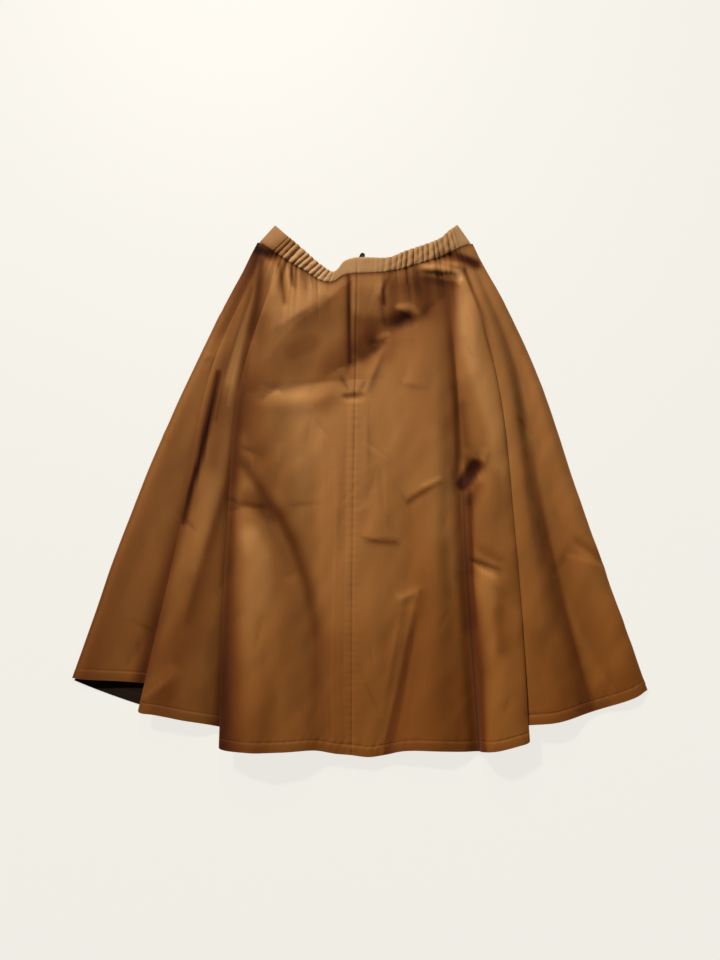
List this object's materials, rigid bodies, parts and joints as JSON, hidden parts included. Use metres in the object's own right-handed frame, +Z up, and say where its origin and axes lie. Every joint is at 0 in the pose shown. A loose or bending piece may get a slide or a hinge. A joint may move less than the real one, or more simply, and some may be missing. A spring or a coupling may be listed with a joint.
{
  "type": "a-line midi skirt",
  "caption": "Camel brown A-line midi skirt laid flat, back side up, with soft lengthwise folds, a gathered elastic waistband and a concealed centre back zip.",
  "frame": {"origin": "middle of the whole garment's outline, on the surface that it lies on", "axes": "+X across the skirt to the right as seen from above, +Y along the skirt towards the waist, +Z up out of the surface"},
  "size_m": [0.8402, 0.7783, 0.0346],
  "materials": {
    "skirt_cloth": "matt cloth with a slight sheen",
    "band_cloth": "matt cloth, gathered",
    "tape_cloth": "woven tape",
    "zip_metal": "dark lacquered metal"
  },
  "bodies": {
    "root": {"back_panel_left": "skirt_cloth", "back_panel_right": "skirt_cloth", "front_panel": "skirt_cloth", "back_band_left": "band_cloth", "back_band_right": "band_cloth", "front_band": "band_cloth", "zip_tape": "tape_cloth", "zip_slider": "zip_metal", "zip_pull": "zip_metal"}
  },
  "joints": []
}
